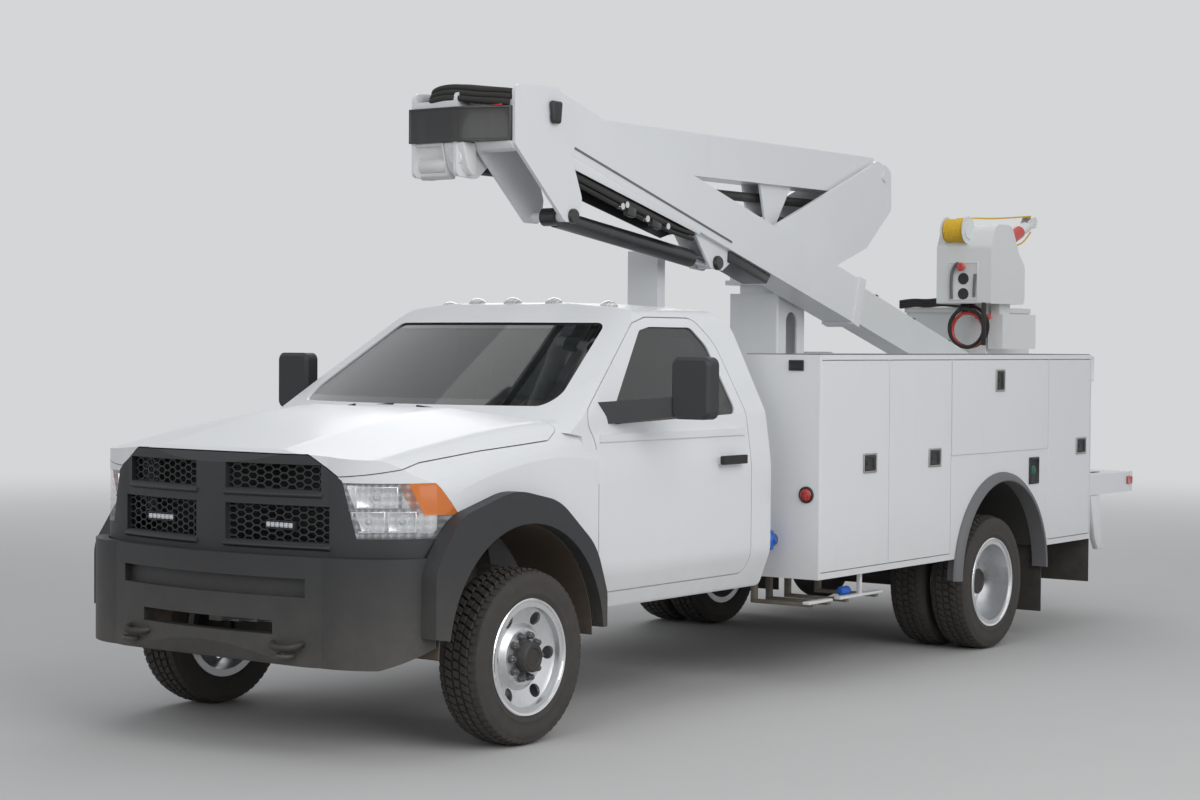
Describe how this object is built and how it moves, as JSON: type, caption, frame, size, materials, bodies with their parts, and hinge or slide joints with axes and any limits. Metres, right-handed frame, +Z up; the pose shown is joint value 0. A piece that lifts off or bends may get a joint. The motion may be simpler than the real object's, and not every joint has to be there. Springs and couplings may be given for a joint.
{
  "type": "cherry picker truck",
  "caption": "Conventional-cab truck with a utility body and a folding telescopic boom whose bucket rests behind the tail shelf.",
  "frame": {"origin": "centre of the whole truck in length and width, on the ground", "axes": "+X forward, +Y to the truck's left, +Z up"},
  "size_m": [7.845, 2.8, 3.0589],
  "materials": {
    "white_paint": "gloss",
    "black_paint": "satin",
    "grey_paint": "satin",
    "steel": "satin",
    "rod_chrome": "polished",
    "black_plastic": "satin",
    "grey_plastic": "satin",
    "white_plastic": "gloss",
    "rubber": "matte",
    "tyre": "matte",
    "rim_paint": "satin",
    "glass": "clear",
    "lamp_clear": "gloss",
    "lamp_red": "gloss",
    "seat_cloth": "matte",
    "cast_iron": "matte"
  },
  "bodies": {
    "chassis": {"frame": "black_paint", "front_axle": "cast_iron", "rear_axle": "cast_iron", "springs": "steel", "driveline": "cast_iron", "fuel_tank": "black_paint", "cab_shell": "white_paint", "cab_glass": "glass", "seat": "seat_cloth", "dashboard": "grey_plastic", "front_fenders": "white_paint", "grille": "black_plastic", "headlamps": "lamp_clear", "front_bumper": "black_plastic", "arch_flares": "black_plastic", "roof_lamps": "lamp_clear", "body_shell": "white_paint", "tail_shelf": "white_paint", "tail_lamps": "lamp_red", "mudflaps": "rubber", "pedestal": "white_paint", "boom_rest": "white_paint"},
    "hood": {"hood": "white_paint"},
    "door_left": {"door_left": "white_paint", "door_glass_left": "glass", "mirror_left": "black_plastic"},
    "door_right": {"door_right": "white_paint", "door_glass_right": "glass", "mirror_right": "black_plastic"},
    "turntable": {"turntable": "white_paint"},
    "lower_boom": {"lower_boom": "white_paint"},
    "level_link": {"level_link": "grey_paint"},
    "lower_barrel": {"lower_cylinder_barrel": "black_paint"},
    "lower_rod": {"lower_cylinder_rod": "rod_chrome"},
    "elbow": {"elbow": "white_paint"},
    "upper_boom": {"upper_boom": "white_paint"},
    "upper_barrel": {"upper_cylinder_barrel": "black_paint"},
    "upper_rod": {"upper_cylinder_rod": "rod_chrome"},
    "inner_boom": {"inner_boom": "white_plastic"},
    "platform": {"boom_tip": "white_plastic", "bucket": "white_plastic"},
    "knuckle_left": {"knuckle_left": "cast_iron"},
    "knuckle_right": {"knuckle_right": "cast_iron"},
    "front_wheel_left": {"front_rim_left": "rim_paint", "front_tyre_left": "tyre"},
    "front_wheel_right": {"front_rim_right": "rim_paint", "front_tyre_right": "tyre"},
    "rear_wheels_left": {"rear_rims_left": "rim_paint", "rear_tyres_left": "tyre"},
    "rear_wheels_right": {"rear_rims_right": "rim_paint", "rear_tyres_right": "tyre"},
    "body_door_front_left": {"body_door_front_left": "white_paint"},
    "body_door_front_right": {"body_door_front_right": "white_paint"},
    "body_door_second_left": {"body_door_second_left": "white_paint"},
    "body_door_second_right": {"body_door_second_right": "white_paint"},
    "body_door_middle_left": {"body_door_middle_left": "white_paint"},
    "body_door_middle_right": {"body_door_middle_right": "white_paint"},
    "body_door_rear_left": {"body_door_rear_left": "white_paint"},
    "body_door_rear_right": {"body_door_rear_right": "white_paint"}
  },
  "joints": [
    {"name": "hood_lift", "type": "hinge", "parent": "chassis", "child": "hood", "pos_m": [2.625, 0, 1.438], "axis": [0, -1, 0], "range_deg": [0, 45]},
    {"name": "cab_door_left", "type": "hinge", "parent": "chassis", "child": "door_left", "pos_m": [2.354, 1.01, 1], "axis": [0, 0, -1], "range_deg": [0, 65]},
    {"name": "body_door_front_left", "type": "hinge", "parent": "chassis", "child": "body_door_front_left", "pos_m": [0.6395, 1.194, 1.159], "axis": [0, 0, -1], "range_deg": [0, 105]},
    {"name": "body_door_second_left", "type": "hinge", "parent": "chassis", "child": "body_door_second_left", "pos_m": [-0.085, 1.194, 1.159], "axis": [0, 0, -1], "range_deg": [0, 105]},
    {"name": "body_door_middle_left", "type": "hinge", "parent": "chassis", "child": "body_door_middle_left", "pos_m": [-1.447, 1.194, 1.1635], "axis": [-1, 0, 0], "range_deg": [0, 100]},
    {"name": "body_door_rear_left", "type": "hinge", "parent": "chassis", "child": "body_door_rear_left", "pos_m": [-2.0915, 1.194, 1.159], "axis": [0, 0, 1], "range_deg": [-105, 0]},
    {"name": "steer_left", "type": "hinge", "parent": "chassis", "child": "knuckle_left", "pos_m": [2.925, 0.73, 0.395], "axis": [0, 0, 1], "range_deg": [-32, 32]},
    {"name": "front_wheel_spin_left", "type": "hinge", "parent": "knuckle_left", "child": "front_wheel_left", "pos_m": [2.925, 0.951, 0.395], "axis": [0, 1, 0], "continuous": true},
    {"name": "rear_wheels_spin_left", "type": "hinge", "parent": "chassis", "child": "rear_wheels_left", "pos_m": [-1.355, 0.95, 0.395], "axis": [0, 1, 0], "continuous": true},
    {"name": "cab_door_right", "type": "hinge", "parent": "chassis", "child": "door_right", "pos_m": [2.354, -1.01, 1], "axis": [0, 0, 1], "range_deg": [0, 65]},
    {"name": "body_door_front_right", "type": "hinge", "parent": "chassis", "child": "body_door_front_right", "pos_m": [0.6395, -1.194, 1.159], "axis": [0, 0, 1], "range_deg": [0, 105]},
    {"name": "body_door_second_right", "type": "hinge", "parent": "chassis", "child": "body_door_second_right", "pos_m": [-0.085, -1.194, 1.159], "axis": [0, 0, 1], "range_deg": [0, 105]},
    {"name": "body_door_middle_right", "type": "hinge", "parent": "chassis", "child": "body_door_middle_right", "pos_m": [-1.447, -1.194, 1.1635], "axis": [1, 0, 0], "range_deg": [0, 100]},
    {"name": "body_door_rear_right", "type": "hinge", "parent": "chassis", "child": "body_door_rear_right", "pos_m": [-2.0915, -1.194, 1.159], "axis": [0, 0, -1], "range_deg": [-105, 0]},
    {"name": "steer_right", "type": "hinge", "parent": "chassis", "child": "knuckle_right", "pos_m": [2.925, -0.73, 0.395], "axis": [0, 0, 1], "range_deg": [-32, 32]},
    {"name": "front_wheel_spin_right", "type": "hinge", "parent": "knuckle_right", "child": "front_wheel_right", "pos_m": [2.925, -0.951, 0.395], "axis": [0, 1, 0], "continuous": true},
    {"name": "rear_wheels_spin_right", "type": "hinge", "parent": "chassis", "child": "rear_wheels_right", "pos_m": [-1.355, -0.95, 0.395], "axis": [0, 1, 0], "continuous": true},
    {"name": "turntable_slew", "type": "hinge", "parent": "chassis", "child": "turntable", "pos_m": [-0.715, 0, 2.15], "axis": [0, 0, 1], "range_deg": [-185, 185]},
    {"name": "lower_boom_lift", "type": "hinge", "parent": "turntable", "child": "lower_boom", "pos_m": [-1.865, 0, 2.865], "axis": [0, -1, 0], "range_deg": [0, 70]},
    {"name": "level_link_swing", "type": "hinge", "parent": "turntable", "child": "level_link", "pos_m": [-1.735, 0, 2.665], "axis": [0, -1, 0], "range_deg": [0, 70]},
    {"name": "lower_cylinder_swing", "type": "hinge", "parent": "turntable", "child": "lower_barrel", "pos_m": [-1.615, 0, 2.45], "axis": [0, -1, 0], "range_deg": [0, 67.2]},
    {"name": "lower_cylinder_stroke", "type": "slide", "parent": "lower_barrel", "child": "lower_rod", "axis": [0.9958, 0, 0.0915], "range_m": [0, 0.553]},
    {"name": "elbow_level", "type": "hinge", "parent": "lower_boom", "child": "elbow", "pos_m": [2.135, 0, 2.865], "axis": [0, 1, 0], "range_deg": [0, 70]},
    {"name": "upper_boom_lift", "type": "hinge", "parent": "elbow", "child": "upper_boom", "pos_m": [1.965, 0.3, 2.932], "axis": [0, 1, 0], "range_deg": [0, 85]},
    {"name": "upper_cylinder_swing", "type": "hinge", "parent": "elbow", "child": "upper_barrel", "pos_m": [1.805, 0.3, 2.43], "axis": [0, 1, 0], "range_deg": [0, 79.8]},
    {"name": "upper_cylinder_stroke", "type": "slide", "parent": "upper_barrel", "child": "upper_rod", "axis": [-0.9912, 0, -0.132], "range_m": [0, 0.693]},
    {"name": "boom_extend", "type": "slide", "parent": "upper_boom", "child": "inner_boom", "axis": [-0.9617, 0, -0.274], "range_m": [0, 2.001]},
    {"name": "platform_level", "type": "hinge", "parent": "inner_boom", "child": "platform", "pos_m": [-2.8918, 0.3, 1.54851], "axis": [0, -1, 0], "range_deg": [0, 85]}
  ],
  "couplings": [
    {"joint": "steer_right", "follows": "steer_left", "ratio": 1},
    {"joint": "level_link_swing", "follows": "lower_boom_lift", "ratio": 1},
    {"joint": "elbow_level", "follows": "lower_boom_lift", "ratio": 1},
    {"joint": "lower_cylinder_swing", "follows": "lower_boom_lift", "ratio": 0.95269},
    {"joint": "lower_cylinder_stroke", "follows": "lower_boom_lift", "m_per_rad": 0.45118},
    {"joint": "upper_cylinder_swing", "follows": "upper_boom_lift", "ratio": 0.9324},
    {"joint": "upper_cylinder_stroke", "follows": "upper_boom_lift", "m_per_rad": 0.46547},
    {"joint": "platform_level", "follows": "upper_boom_lift", "ratio": 1},
    {"joint": "boom_extend", "follows": "upper_boom_lift", "m_per_rad": 1.3481},
    {"joint": "turntable_slew", "follows": "upper_boom_lift", "ratio": 2}
  ]
}
